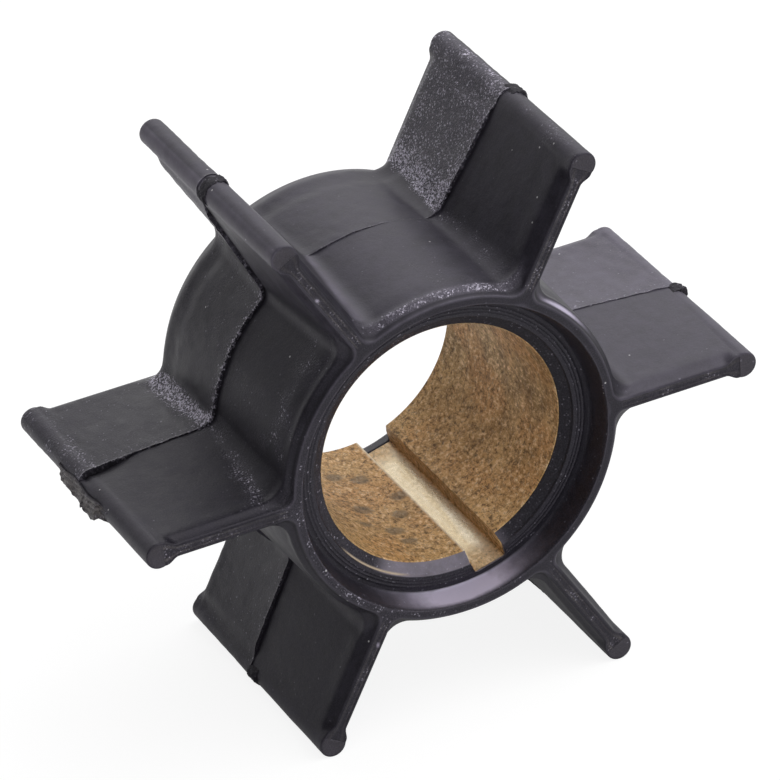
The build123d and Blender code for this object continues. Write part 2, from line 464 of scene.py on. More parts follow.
# ---- rubber ends
# Points across a vane's end face, the worn ridge along each side of it, and how far each point is sunk
CROSS = np.array([-0.8, -0.62, -0.5, -0.35, 0.0, 0.35, 0.5, 0.62, 0.8])
RIDGE_HEIGHT = 0.035
LIP_RIDGES = RIDGE_HEIGHT * bell(np.abs(CROSS), 0.56, 0.1)
LIP_SINK = 0.075 - LIP_RIDGES - 0.03 * bell(np.abs(CROSS), 0.85, 0.1)
LIP_CHIPS = {UPPER_LEFT: 22.0, LOWER_LEFT: 17.75}        # radius of the pale chips on two front lips
CHIP_SIDE = 0.5                                          # and their place across the lip
BEAD_RINGS = ((0.86, 0.0), (0.72, 0.0), (0.6, 0.01), (0.35, 0.02))     # share of the bead's size, sink
BEAD_MARKS = {"grain": 0.12, "bloom": 0.02, "smear": 0.12}
WITNESS_RINGS = (0.5, 0.82, 1.1)     # fine raised rings on a recess floor, each this far in from its edge
WITNESS_HEIGHT = 0.035


def lip_row(mesh, vane, left, right, y_face, inward):
    """One row of points across a vane's end face, sunk a little and worn, between its two sides."""
    a = np.array(mesh.vertices[left])
    b = np.array(mesh.vertices[right])
    middle, reach = (a + b) / 2, (b - a) / 2
    row = middle + CROSS[:, None] * reach
    wave = 0.03 * noise3(row, 0.8, 11)
    scuffed = smooth(-0.2, 0.4, noise3(middle[None, :], 1.3, 14))
    chip = 0.0
    if inward > 0 and vane in LIP_CHIPS:
        chip = bell(hypot(middle[0], middle[2]), LIP_CHIPS[vane], 0.16)
        chip = 0.5 * chip * bell(CROSS, CHIP_SIDE, 0.3)
    row[:, 1] = y_face + inward * np.maximum(LIP_SINK + wave, 0.004)
    smeared = (0.2 + 0.4 * scuffed) * LIP_RIDGES / RIDGE_HEIGHT
    return mesh.add(row, grain=0.12 + 0.3 * scuffed, smear=smeared, bloom=chip)


def end_face(mesh, side_row, y_face, inward):
    """Lips and bead ends of one end. Returns the hub ring's outer loop of indices, in order of angle."""
    ring_loop = []
    for vane in range(6):
        columns = side_row[vane * VANE_COLUMNS:(vane + 1) * VANE_COLUMNS]
        left = columns[:HALF_COUNT]
        right = columns[::-1][:HALF_COUNT]
        web = range(WEB_START, WEB_END + 1)
        cross_rows = [lip_row(mesh, vane, left[i], right[i], y_face, inward) for i in web]
        mesh.skin([np.r_[left[i], row, right[i]] for i, row in zip(web, cross_rows)], closed=False)
        last = np.r_[left[WEB_END:], right[WEB_END:-1][::-1], cross_rows[-1][::-1]]
        centre = bead_centre(vane)
        outer = np.array([mesh.vertices[i] for i in last])
        for scale, sink in BEAD_RINGS:
            ring = centre + (outer - centre) * scale
            ring[:, 1] = y_face + inward * sink
            ring = mesh.add(ring, **BEAD_MARKS)
            mesh.bridge(last, ring)
            last = ring
        middle = centre + [0, y_face + inward * BEAD_RINGS[-1][1], 0]
        mesh.fan(last, mesh.add([middle], **BEAD_MARKS)[0])
        ring_loop.extend(left[:WEB_START + 1])
        ring_loop.extend(cross_rows[0])
        ring_loop.extend(right[:WEB_START + 1][::-1])
    return np.array(ring_loop)


def keyway_clear(angles, radius, spare=0.0):
    """The radius at each angle, pushed out to the keyway's outline where it passes, or spare past that."""
    off = np.radians(angle_from(angles, KEYWAY_ANGLE))
    inside = np.abs(off) < pi / 4
    floor = KEYWAY_FLOOR / np.cos(np.where(inside, off, 0))
    wall = KEYWAY_HALF / np.maximum(np.abs(np.sin(np.where(inside, off, 1))), 1e-6)
    return np.where(inside, np.maximum(radius, np.minimum(floor, wall) + spare), radius)


def snap_to_keyway(angles):
    """Moves the nearest columns exactly onto the keyway's corners."""
    angles = angles.copy()
    for corner_radius in (BORE_RADIUS, SKIN_RADIUS, KEYWAY_FLOOR):
        for side in (-1, 1):
            corner = radians(KEYWAY_ANGLE) + side * asin(KEYWAY_HALF / corner_radius)
            gap = (angles - corner + pi) % (2 * pi) - pi
            nearest = int(np.argmin(np.abs(gap)))
            angles[nearest] = angles[nearest] - gap[nearest]
    return angles


def recess_rings(mouth, floor_radius, depth):
    """Rings from a recess's mouth, over its wall and floor, to the sleeve's skin: radius, sink, grain."""
    rings = [(mouth + 0.02, 0.02, 0.2), (mouth - 0.03, 0.1, 0.15)]
    for t in (0.2, 0.4, 0.6, 0.8, 0.93):
        rings.append((mouth - 0.03 + (floor_radius - mouth) * t, 0.1 + (depth - 0.1) * t, 0.08))
    rings += [(floor_radius - 0.1, depth, 0.1), (floor_radius - 0.3, depth, 0.1)]
    for inset in WITNESS_RINGS:
        outer = floor_radius - inset
        if outer > SKIN_RADIUS + 0.24:
            rings += [(outer, depth, 0.1), (outer - 0.05, depth - WITNESS_HEIGHT, 0.3),
                      (outer - 0.1, depth - WITNESS_HEIGHT, 0.3), (outer - 0.16, depth, 0.1)]
    return rings + [(SKIN_RADIUS + 0.1, depth, 0.2)]


def film_rings(depth, film_end):
    """Rings of the film from the skin's edge down the sleeve's chamfer, and into the metal."""
    width = SKIN_RADIUS - film_end
    sleeve_end = depth + END_SKIN
    rings = [(SKIN_RADIUS + 0.02, depth + 0.05, 0.3)]
    for inset in [width * t for t in (0.04, 0.2, 0.4, 0.6, 0.8, 0.96)]:
        rings.append((SKIN_RADIUS - inset, sleeve_end - FILM + CHAMFER_SLOPE * inset, 1.0))
    tuck = width + 0.01
    return rings + [(SKIN_RADIUS - tuck, sleeve_end + CHAMFER_SLOPE * tuck + 0.04, 0.8)]


def hub_end(mesh, loop, y_face, inward, mouth, floor_radius, depth, film_end):
    """Hub ring, recess and film of one end. Returns the film's last ring of indices, and its angles."""
    outer = np.array([mesh.vertices[i] for i in loop])
    angles = np.arctan2(outer[:, 2], outer[:, 0])
    radii = np.hypot(outer[:, 0], outer[:, 2])
    rings = [loop]
    front = inward > 0
    for share, sink in ((0.25, 0.0), (0.5, 0.012), (0.75, 0.0), (0.93, 0.0)):
        ring = polar(angles, radii + (mouth - radii) * share, y_face + inward * sink)
        dusty = 0.4 + 0.6 * smooth(-0.1, 0.4, noise3(ring, 1.2, 15))
        low_left = 0.15 + 0.6 * around(angles, 215, 50) * front
        # a faint painted highlight on the ring's edge at the recess's mouth
        rings.append(mesh.add(ring, grain=low_left * dusty, bloom=0.03 if share > 0.9 else 0.0))
    inner = snap_to_keyway(angles)
    for radius, sink, grain in recess_rings(mouth, floor_radius, depth):
        here = inner if radius < floor_radius - 0.2 else angles
        spot = polar(here, radius, y_face + inward * sink)
        wobble = 0.025 * noise3(spot, 2.5, 6) if radius > SKIN_RADIUS + 0.3 else 0.0
        ring = polar(here, keyway_clear(here, radius + wobble), y_face + inward * sink)
        lit = 0.0
        if front and 0.05 < sink < depth - 0.05 and radius > floor_radius:      # low on the recess's wall
            # a painted highlight low on the recess's wall
            lit = 0.74 * around(here, 270, 18.0) * smooth(0.05, 0.7, sink)
        rings.append(mesh.add(ring, grain=grain, bloom=lit))
    # the film is painted pale, with a little scuff colour, at the bottom of the front where light falls,
    # painted dark
    #     as shade on the right, and torn off its edge at one place, where the metal shows as a painted glint
    pale = smooth(34, 22, np.abs(angle_from(inner, 264))) * front
    shaded = 0.6 * smooth(95, 60, np.abs(angle_from(inner, 10)))
    for number, (radius, sink, grain) in enumerate(film_rings(depth, film_end)):
        spot = polar(inner, radius, y_face + inward * sink)
        rise = np.minimum(0.03 * noise3(spot, 0.5, 12) + 0.02 * noise3(spot, 1.8, 13), 0.04)
        hidden = KEYWAY_SPARE if sink > depth + END_SKIN - 0.05 else 0.0        # inside the metal
        ring = polar(inner, keyway_clear(inner, radius, hidden), y_face + inward * (sink - rise))
        torn_off = smooth(20, 12, np.abs(angle_from(inner, 231))) if front and number == 1 else 0.0
        rings.append(mesh.add(ring, grain=0.25 * grain, bare=torn_off, bloom=0.2 * pale, dark=shaded,
                              smear=0.3 * pale))
    mesh.skin(rings)
    return rings[-1], inner


def make_rubber():
    """The whole moulding: outer side, both ends, and the seat that lies against the sleeve."""
    mesh = Mesh()
    points, marks = rubber_side()
    side = mesh.add(points, **marks)
    mesh.skin(side)
    front_loop = end_face(mesh, side[0], FRONT, 1)
    back_loop = end_face(mesh, side[-1], BACK, -1)
    front_film, inner = hub_end(mesh, front_loop, FRONT, 1, *FRONT_RECESS)
    back_film = hub_end(mesh, back_loop, BACK, -1, *BACK_RECESS)[0]
    rings = [front_film]
    for radius, y in ((BORE_RADIUS + 0.04, SLEEVE_FRONT + CHAMFER_AXIAL), (SKIN_RADIUS, SLEEVE_FRONT),
                      (SLEEVE_RADIUS, SLEEVE_FRONT), (SLEEVE_RADIUS, SLEEVE_BACK), (SKIN_RADIUS, SLEEVE_BACK),
                      (BACK_RECESS[-1], SLEEVE_BACK - CHAMFER_AXIAL + 0.24)):
        ring = polar(inner, keyway_clear(inner, radius, KEYWAY_SPARE), y)
        rings.append(mesh.add(ring, grain=0.5))
    mesh.skin(rings + [back_film])
    return mesh.object("rubber_body", sharp=38)


# ---- mould flash
# Torn bands of flash round the beads: vane, extent along the shaft, extent round the bead in degrees, reach,
# lumps as (extra reach, place from 0 to 1, width), raggedness, noise seed
FLASH_BANDS = (
    (UPPER_RIGHT, (-0.6, 1.3), (-5, 100), 0.1, ((0.22, 0.4, 0.25),), 0.3, 41),
    (UPPER_LEFT, (-0.35, 1.0), (20, 225), 0.07, ((0.2, 0.14, 0.1), (0.15, 0.8, 0.13)), 0.55, 51),
    (RIGHT, (-0.6, 0.75), (5, 95), 0.1, ((0.38, 0.35, 0.25),), 0.5, 61),
    (LOWER_LEFT, (-0.3, 1.3), (130, 225), 0.08, ((0.26, 0.5, 0.2),), 0.3, 71),
    (LOWER_RIGHT, (-0.3, 1.1), (215, 350), 0.16, (), 0.5, 81),
)
BAND_ROW = 0.09           # from row to row
BAND_COLUMN = 4           # from column to column, in degrees
BAND_EDGE = 0.12          # a band rises to its full reach over this length
BAND_BURIED = 0.07        # its edges are this far inside the bead
BAND_UNDERSIDE = 0.2      # and its underside this far

# The gate stub on the left bead: (distance in front of mid-width, reach beyond the bead) along its two edges
STUB_LOWER_EDGE = ((-4.7, 0.0), (-4.5, 0.35), (-4.1, 0.55), (-3.4, 0.62), (-0.4, 0.64), (0.3, 0.72),
                   (0.62, 0.8), (0.76, 1.12), (0.92, 0.8), (1.1, 0.86), (2.6, 0.97), (3.4, 0.85), (3.7, 0.35),
                   (5.0, 0.0))
STUB_UPPER_EDGE = ((-4.7, 0.0), (-4.4, 0.16), (-3.0, 0.2), (1.0, 0.2), (1.5, 0.34), (3.3, 0.34), (3.6, 0.1),
                   (5.0, 0.0))
STUB_LIMIT = 1.07         # no part of it reaches further than this
STUB_ROWS = 110
STUB_COLUMNS = 12
STUB_BURIED = 0.1         # its edges are this far inside the bead


def flash_band(mesh, vane, along_shaft, round_bead, reach, lumps, ragged, seed):
    """One torn band of rubber round a bead."""
    centre = bead_centre(vane)
    y0, y1 = along_shaft
    a0, a1 = round_bead
    u = np.linspace(0, 1, int((a1 - a0) / BAND_COLUMN))[None, :]
    v = np.linspace(0, 1, int((y1 - y0) / BAND_ROW))[:, None]
    angle = np.radians(a0 + (a1 - a0) * u)
    line = polar(angle, 1.3, 0.0, centre)
    jag0 = 0.2 * noise3(line, 0.45, seed) + 0.12 * noise3(line, 0.18, seed + 1)
    jag1 = 0.2 * noise3(line, 0.45, seed + 2) + 0.12 * noise3(line, 0.18, seed + 3)
    y = (y0 + jag0) * (1 - v) + (y1 + jag1) * v
    on_bead = polar(angle, BEAD_RADIUS, y, centre)
    bumps = 0.9 + 1.1 * noise3(on_bead, 0.4, seed + 4) + 0.7 * noise3(on_bead, 0.16, seed + 5)
    bumps = np.clip(1 - ragged + ragged * bumps, 0.25, 1.15)
    for extra, place, width in lumps:
        reach = reach + extra * bell(u, place, width)
    height = reach * bumps * smooth(0.0, 0.18, u) * smooth(1.0, 0.82, u)
    edge = BAND_EDGE / (y1 - y0)
    border = smooth(0.0, edge, v) * smooth(1.0, 1 - edge, v)
    radius = BEAD_RADIUS - BAND_BURIED + (height + BAND_BURIED) * border
    top = polar(angle, radius, y, centre)
    top[..., 0] = np.clip(top[..., 0], rubber_low.x / MM + BOX_MARGIN, rubber_high.x / MM - BOX_MARGIN)
    top[..., 2] = np.clip(top[..., 2], FLOOR + 0.003, rubber_high.z / MM - BOX_MARGIN)
    # painted shade on the band, deepest where it lies low on the bead, and on its underside
    top = mesh.add(top, grain=0.25, dark=0.8 * np.clip(0.75 - height * border * 0.3, 0, 1))
    under = mesh.add(polar(angle, BEAD_RADIUS - BAND_UNDERSIDE, y, centre), dark=0.8)
    mesh.skin(top, closed=False)
    mesh.skin(under, closed=False)
    for rim in (np.s_[0], np.s_[-1], np.s_[:, 0], np.s_[:, -1]):
        mesh.bridge(top[rim], under[rim], closed=False)


def gate_stub(mesh):
    """What is left of the gate on the left bead: a torn flat-faced strip, widest near mid-width."""
    centre = bead_centre(LEFT)
    stations = np.linspace(4.7, -5.0, STUB_ROWS)
    along = np.linspace(0, 1, STUB_ROWS)[:, None]
    lower_reach = np.interp(-stations, *zip(*STUB_LOWER_EDGE))
    upper_reach = np.interp(-stations, *zip(*STUB_UPPER_EDGE))
    v = np.linspace(0, 1, STUB_COLUMNS)[None, :]
    y = stations[:, None]
    high = np.radians(160 - 6 * np.sin(stations * 1.3))[:, None]
    low = np.radians(211 + 4 * np.sin(stations * 2.1))[:, None]
    r_high = (BEAD_RADIUS + upper_reach)[:, None]
    r_low = (BEAD_RADIUS + np.minimum(lower_reach, STUB_LIMIT))[:, None]
    x = r_high * np.cos(high) * (1 - v) + r_low * np.cos(low) * v
    z = r_high * np.sin(high) * (1 - v) + r_low * np.sin(low) * v
    face = level(np.stack([centre[0] + x, centre[2] + z], -1), y)
    torn = 0.07 * noise3(face * np.array([1, 0.35, 1]), 0.35, 31) + 0.05 * noise3(face, 0.15, 32)
    torn = torn + 0.05 * np.sin(face[..., 2] * 14.0 + 2.0 * face[..., 1])
    face[..., 0] = np.maximum(face[..., 0] - torn, rubber_low.x / MM + BOX_MARGIN)
    edge = smooth(0.0, 0.12, v) * smooth(1.0, 0.88, v)
    ends = smooth(0.0, 0.04, along) * smooth(1.0, 0.9, along)
    broken = 0.55 + 0.45 * smooth(-0.3, 0.3, noise3(face, 0.5, 33))
    face = mesh.add(face, smear=(0.3 + 0.6 * edge) * ends * broken, grain=0.3)
    # painted shade along the strip's edges where it meets the bead, and on its ends
    below = mesh.add(polar(low, BEAD_RADIUS - STUB_BURIED, y, centre), dark=0.9)
    above = mesh.add(polar(high, BEAD_RADIUS - STUB_BURIED, y, centre), dark=0.9)
    loop = np.concatenate([above, face, below], axis=1)
    mesh.skin(loop)
    for row in (loop[0], loop[-1]):
        middle = np.mean([mesh.vertices[i] for i in row], axis=0)
        mesh.fan(row, mesh.add([middle], dark=0.9)[0])


def make_flash():
    """All the flash that is left on the beads."""
    mesh = Mesh()
    for band in FLASH_BANDS:
        flash_band(mesh, *band)
    gate_stub(mesh)
    return mesh.object("mould_flash", sharp=28)


# ---- sleeve
ARC_COLUMNS = 300         # round the bore
KEY_COLUMNS = 8           # in each wall of the keyway, and in its floor
BORE_ROWS = 90
CHAMFER_ROWS = (0.5, 0.9)    # rows part of the way down each chamfer
KEYWAY_EDGE = asin(KEYWAY_HALF / BORE_RADIUS)
KEYWAY_TOP = BORE_RADIUS * cos(KEYWAY_EDGE)   # where the bore meets the keyway's walls
# Dark oval smudges in the bore: direction, place along the shaft, size round the bore, size along the shaft
SMUDGES = ((253.3, 6.1, 1.5, 0.75), (263.9, 5.1, 1.5, 0.8), (251.5, -0.15, 1.7, 0.85),
           (273.0, 1.0, 1.5, 0.75), (266.3, -1.75, 1.3, 0.75), (257.3, -4.3, 1.6, 0.7),
           (246.0, -3.0, 1.0, 0.5), (259.0, -6.3, 1.5, 0.5))


def bore_section():
    """The bore and keyway as (x, z), with the keyway along +X."""
    arc = np.linspace(KEYWAY_EDGE, 2 * pi - KEYWAY_EDGE, ARC_COLUMNS)
    wall = [KEYWAY_TOP + (KEYWAY_FLOOR - KEYWAY_TOP) * t for t in np.linspace(0, 1, KEY_COLUMNS + 1)]
    section = [(BORE_RADIUS * cos(a), BORE_RADIUS * sin(a)) for a in arc]
    section += [(out, -KEYWAY_HALF) for out in wall[1:]]
    section += [(KEYWAY_FLOOR, KEYWAY_HALF * t) for t in np.linspace(-1, 1, KEY_COLUMNS + 1)[1:]]
    section += [(out, KEYWAY_HALF) for out in wall[-2:0:-1]]
    return np.array(section)


def make_sleeve():
    """Sleeve with chamfered ends, a keyway, and a slightly uneven bore."""
    mesh = Mesh()
    section = bore_section()
    out, off = section[:, 0], section[:, 1]      # along the keyway's middle, and off it
    plan = turned(section, KEYWAY_ANGLE)
    radius = np.hypot(plan[:, 0], plan[:, 1])
    in_bore = radius < BORE_RADIUS + 0.01
    in_key = (np.abs(off) < KEYWAY_HALF + 0.01) & (out > 0)

    # the edge of each end face: the bore's outline moved out to the chamfer's top
    edge = section.copy()
    edge[~in_key] = section[~in_key] * (SKIN_RADIUS / radius)[~in_key, None]
    edge[in_key, 0] = np.maximum(out[in_key], sqrt(SKIN_RADIUS ** 2 - KEYWAY_HALF ** 2))
    edge = turned(edge, KEYWAY_ANGLE)
    outer_angle = np.arctan2(edge[:, 1], edge[:, 0])
    outer = np.c_[np.cos(outer_angle), np.sin(outer_angle)] * SLEEVE_RADIUS

    def end_rows(end, chamfer):
        rows = [level(outer, end), level(edge, end)]
        return rows + [level(edge * (1 - t) + plan * t, end * (1 - t) + chamfer * t) for t in CHAMFER_ROWS]

    sink = CHAMFER_AXIAL * np.clip((SKIN_RADIUS - radius) / (SKIN_RADIUS - BORE_RADIUS), 0, 1)
    rows = end_rows(SLEEVE_FRONT, SLEEVE_FRONT + sink)
    for t in np.linspace(0, 1, BORE_ROWS):
        points = level(plan, (SLEEVE_FRONT + sink) * (1 - t) + (SLEEVE_BACK - sink) * t)
        uneven = 0.02 * noise3(points, 0.6, 7) + 0.02 * noise3(points, 2.5, 8)
        uneven = np.where(in_key & ~in_bore, 0.3 * uneven, uneven)
        scale = 1 + min(1.0, 12 * t, 12 * (1 - t)) * uneven / radius
        rows.append(points * np.stack([scale, np.ones_like(scale), scale], -1))
    rows += end_rows(SLEEVE_BACK, SLEEVE_BACK - sink)[::-1]

    wall = (np.abs(np.abs(off) - KEYWAY_HALF) < 0.01) & (out > 0)
    key_floor = (np.abs(off) < KEYWAY_HALF - 0.01) & (out > SKIN_RADIUS)
    burr = bell(out, KEYWAY_TOP, 0.16) * bell(off, -KEYWAY_HALF, 0.1)   # along one corner of the keyway
    indices = []
    for row in rows:
        angle = np.arctan2(row[:, 2], row[:, 0])
        dark = np.zeros(len(row))
        for degrees, place, length, width in SMUDGES:
            sideways = np.radians(angle_from(angle, degrees)) * BORE_RADIUS
            dark = np.maximum(dark, bell(row[:, 1], place, width) * bell(sideways, 0, 0.6 * length))
        # the keyway's floor is paler along the middle of its length
        paler_mid_length = 1 - 0.65 * smooth(6.5, 10.0, abs(float(row[:, 1].mean()) - 0.8))   # less near the ends
        indices.append(mesh.add(row, dark=dark, smear=key_floor * paler_mid_length, grain=wall, bare=burr))
    mesh.skin(indices)
    mesh.bridge(indices[-1], indices[0])
    return mesh.object("bronze_sleeve", sharp=35)


# ---- materials
# Colours, as linear red, green and blue
RUBBER_DARK = (0.0066, 0.0060, 0.0092)
RUBBER_GREY = (0.0142, 0.0128, 0.0198)
BLOOM_AND_HIGHLIGHT = (0.50, 0.455, 0.58)
TOOTH = (0.50, 0.46, 0.57)
PAINTED_GLINT = (0.62, 0.58, 0.70)
SCUFF = (0.165, 0.148, 0.138)
TORN_EDGE_AND_HIGHLIGHT = (0.36, 0.34, 0.40)
SEAM_AND_SHADE = (0.003, 0.003, 0.0035)
DUST = (0.55, 0.54, 0.55)
BARE_GLINT = (0.62, 0.5, 0.36)
RUBBER_SHEEN = (0.94, 0.89, 1.0)
BRONZE_BROWN = (0.25, 0.158, 0.055)
BRONZE_YELLOW = (0.60, 0.415, 0.195)
BRONZE_ORANGE = (0.56, 0.29, 0.10)
BRONZE_LOW = (0.76, 0.44, 0.16)
GRIT_PALE = (0.86, 0.62, 0.36)
GRIT_DARK = (0.20, 0.11, 0.04)
PIT = (0.13, 0.08, 0.03)
VEIN = (0.15, 0.09, 0.04)
KEYFLOOR_TAN = (0.80, 0.66, 0.44)
KEYFLOOR_CREAM = (0.92, 0.83, 0.66)
KEYWALL_SHADE = (0.18, 0.11, 0.055)
SMUDGE = (0.135, 0.105, 0.065)
BURR_HIGHLIGHT = (0.9, 0.8, 0.62)


class Graph:
    """Short names for building the nodes of one material or world."""

    def __init__(self, owner):
        owner.use_nodes = True
        self.tree = owner.node_tree
        self.where = None

    def feed(self, inputs, values):
        """Links each named input to another node's output, or sets its number or colour."""
        for name, value in values.items():
            if hasattr(value, "is_linked"):
                self.tree.links.new(value, inputs[name])
            else:
                inputs[name].default_value = (*value, 1) if inputs[name].type == "RGBA" else value

    def node(self, kind, **values):
        node = self.tree.nodes.new("ShaderNode" + kind)
        self.feed(node.inputs, values)
        return node

    def place(self, kind="Object"):
        """The shaded point, in its object's metres. Generated gives a world its direction."""
        if self.where is None:
            self.where = self.node("TexCoord")
        return self.where.outputs[kind]

    def math(self, kind, *values):
        node = self.node("Math")
        node.operation = kind
        self.feed(node.inputs, dict(enumerate(values)))
        return node.outputs[0]

    def plus(self, a, b):
        return self.math("ADD", a, b)

    def minus(self, a, b):
        return self.math("SUBTRACT", a, b)

    def times(self, a, b):
        return self.math("MULTIPLY", a, b)

    def either(self, a, b):
        return self.math("MAXIMUM", a, b)

    def near(self, value, centre, far, close):
        """0 far from the centre, and 1 close to it."""
        return self.range(self.math("ABSOLUTE", self.minus(value, centre)), far, close)

    def mark(self, name):
        node = self.node("Attribute")
        node.attribute_name = name
        return node.outputs["Fac"]

    def noise(self, size_mm, detail=2.0, roughness=0.5, stretch=None):
        """Noise with features of this size. It lies mostly between 0.3 and 0.7."""
        place = self.place()
        if stretch:
            place = self.node("Mapping", Scale=stretch, Vector=place).outputs[0]
        values = {"Scale": 1 / (size_mm * MM), "Detail": detail, "Roughness": roughness, "Vector": place}
        return self.node("TexNoise", **values).outputs["Fac"]

    def cells(self, size_mm, output="Distance"):
        """Cells of this size: the distance to the nearest one's point, or one random colour for each."""
        return self.node("TexVoronoi", Scale=1 / (size_mm * MM), Vector=self.place()).outputs[output]

    def range(self, value, low, high, to_low=0.0, to_high=1.0):
        limits = {"From Min": low, "From Max": high, "To Min": to_low, "To Max": to_high}
        return self.node("MapRange", Value=value, **limits).outputs[0]

    def mix(self, share, first, second):
        """Two colours mixed, with this share of the second."""
        node = self.node("Mix")
        node.data_type = "RGBA"
        self.feed(node.inputs, {"Factor": share, 6: first, 7: second})
        return node.outputs[2]

    def bump(self, height, strength, distance_mm, **normal):
        node = self.node("Bump", Strength=strength, Distance=distance_mm * MM, Height=height, **normal)
        return node.outputs["Normal"]


def new_material(name):
    """A material, its graph and its shader's inputs."""
    material = bpy.data.materials.new(name)
    graph = Graph(material)
    return material, graph, graph.tree.nodes["Principled BSDF"].inputs


def rubber_material():
    """Black moulded rubber: smooth, faintly mottled and dusty, with grain, a torn seam, painted glints,
    painted highlights and painted shade where marked.
    """
    material, g, shader = new_material("moulded_rubber")
    grain = g.mark("grain")
    dark = g.mark("dark")
    mottle = g.noise(1.6, 3.0, 0.6)
    fine = g.noise(0.16, 2.0, 0.7)
    base = g.mix(g.range(mottle, 0.3, 0.7), RUBBER_DARK, RUBBER_GREY)
    # a pale bloom, together with painted highlights and painted light, where marked pale
    base = g.mix(g.times(g.mark("bloom"), g.range(mottle, 0.3, 0.7, 1.5, 2.5)), base, BLOOM_AND_HIGHLIGHT)
    # a fine grey and black tooth everywhere, stronger where the surface is gritty
    tooth = g.range(g.noise(0.13, 1.0, 0.5), 0.42, 0.66)
    base = g.mix(g.times(tooth, g.range(grain, 0.0, 1.0, 0.013, 0.19)), base, TOOTH)
    # painted glints: the share of grains painted pale, as if they catch the light, grows with the mark
    chance = g.cells(0.13, "Color")
    level_needed = g.range(grain, 0.0, 1.2, 0.96, 0.40)
    base = g.mix(g.range(g.minus(chance, level_needed), 0.0, 0.3), base, PAINTED_GLINT)
    base = g.mix(g.times(g.mark("smear"), g.range(fine, 0.35, 0.6, 0.35, 1.0)), base, SCUFF)
    # the mould joint: a fine saw-toothed dark line, with painted shade in front of it and a pale torn edge
    # behind it
    #     that also stands in for a highlight on the back half's proud edge
    teeth = g.plus(g.range(g.noise(0.45, 2.0), 0.3, 0.7, -0.08, 0.08), g.range(fine, 0.3, 0.7, -0.03, 0.03))
    behind = g.plus(g.minus(g.mark("seam"), SEAM_ZERO), teeth)
    edge = g.mark("edge")
    line = g.times(g.near(behind, -0.05, 0.075, 0.03), edge)
    shade = g.math("POWER", g.range(behind, -0.9, -0.05), 2.0)
    shade = g.times(g.times(shade, g.range(behind, 0.02, -0.04)), edge)
    line = g.either(line, g.times(shade, 0.4))
    torn = g.times(g.times(g.near(behind, 0.1, 0.09, 0.03), edge), g.range(chance, 0.35, 0.7))
    base = g.mix(g.times(torn, 0.75), base, TORN_EDGE_AND_HIGHLIGHT)
    # the joint's dark line, and painted shade where marked dark
    base = g.mix(g.times(g.either(line, dark), 0.85), base, SEAM_AND_SHADE)
    dust = g.range(g.cells(1.9), 0.055, 0.035)
    picked = g.range(g.noise(2.3, 0.0), 0.5, 0.54)
    base = g.mix(g.times(g.times(dust, picked), 0.8), base, DUST)
    # exposed metal, painted as a bright glint
    base = g.mix(g.mark("bare"), base, BARE_GLINT)
    rough = g.plus(g.range(mottle, 0.3, 0.7, 0.40, 0.50), g.times(g.either(line, dark), 0.4))
    soft = g.bump(g.noise(0.8, 3.0, 0.6), 0.26, 0.1)
    normal = g.bump(g.cells(0.15), g.range(grain, 0.05, 1.1, 0.05, 0.9), 0.08, Normal=soft)
    g.feed(shader, {"Base Color": base, "Specular IOR Level": 0.41, "Specular Tint": RUBBER_SHEEN,
                    "Roughness": rough, "Normal": normal})
    return material


def bronze_material():
    """Sintered bronze: warm, matt and speckled, with dark smudges, a pale keyway floor between walls painted
    darker as shade, and a burr painted as a bright highlight.
    """
    material, g, shader = new_material("cast_bronze")
    keyfloor = g.mark("smear")
    patches = g.noise(3.4, 3.0, 0.6)
    orange = g.noise(5.5, 1.0, 0.5)
    speckle = g.noise(0.3, 3.0, 0.75, (1.0, 0.6, 1.0))
    pits = g.noise(0.55, 2.0, 0.6)
    base = g.mix(g.range(patches, 0.35, 0.65), BRONZE_BROWN, BRONZE_YELLOW)
    base = g.mix(g.times(g.range(orange, 0.45, 0.6), 0.7), base, BRONZE_ORANGE)
    height = g.node("SeparateXYZ", Vector=g.place()).outputs["Z"]
    base = g.mix(g.range(height, -1.0 * MM, -9.0 * MM, 0.0, 0.5), base, BRONZE_LOW)
    grit = g.plus(speckle, g.range(g.noise(0.75, 2.0, 0.6), 0.35, 0.65, -0.07, 0.07))
    base = g.mix(g.range(grit, 0.52, 0.68), base, GRIT_PALE)
    base = g.mix(g.range(grit, 0.46, 0.33), base, GRIT_DARK)
    base = g.mix(g.times(g.range(pits, 0.4, 0.28), 0.8), base, PIT)
    base = g.mix(g.times(g.near(g.noise(1.3, 3.0, 0.6), 0.5, 0.03, 0.006), 0.45), base, VEIN)
    # the keyway: a pale streaky floor between walls painted a little darker as shade
    streak = g.noise(1.1, 2.0, 0.6, (1.0, 0.12, 1.0))
    pale = g.mix(g.range(streak, 0.35, 0.65), KEYFLOOR_TAN, KEYFLOOR_CREAM)
    base = g.mix(g.times(keyfloor, g.range(speckle, 0.3, 0.45, 0.75, 0.97)), base, pale)
    base = g.mix(g.times(g.mark("grain"), 0.08), base, KEYWALL_SHADE)
    ragged = g.plus(g.mark("dark"), g.range(speckle, 0.3, 0.7, -0.15, 0.15))
    base = g.mix(g.times(g.range(ragged, 0.3, 0.6), 0.62), base, SMUDGE)
    # a burr along one corner of the keyway, painted as a bright highlight
    base = g.mix(g.mark("bare"), base, BURR_HIGHLIGHT)
    metal = g.range(keyfloor, 0.0, 1.0, 0.3, 0.85)
    rough = g.minus(g.range(speckle, 0.3, 0.7, 0.62, 0.45), g.times(keyfloor, 0.25))
    pitted = g.bump(pits, g.range(keyfloor, 0.0, 1.0, 0.4, 0.1), 0.15)
    normal = g.bump(speckle, g.range(keyfloor, 0.0, 1.0, 0.35, 0.1), 0.08, Normal=pitted)
    g.feed(shader, {"Base Color": base, "Metallic": metal, "Roughness": rough, "Normal": normal})
    return material


# ---- build
rubber_look = rubber_material()
rubber = make_rubber()
flash = make_flash()
for piece in (rubber, flash):
    piece.data.materials.append(rubber_look)
    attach(piece, "root")
    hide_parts("rubber_moulding")

sleeve = make_sleeve()
sleeve.data.materials.append(bronze_material())
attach(sleeve, "root")
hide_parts("keyed_sleeve")

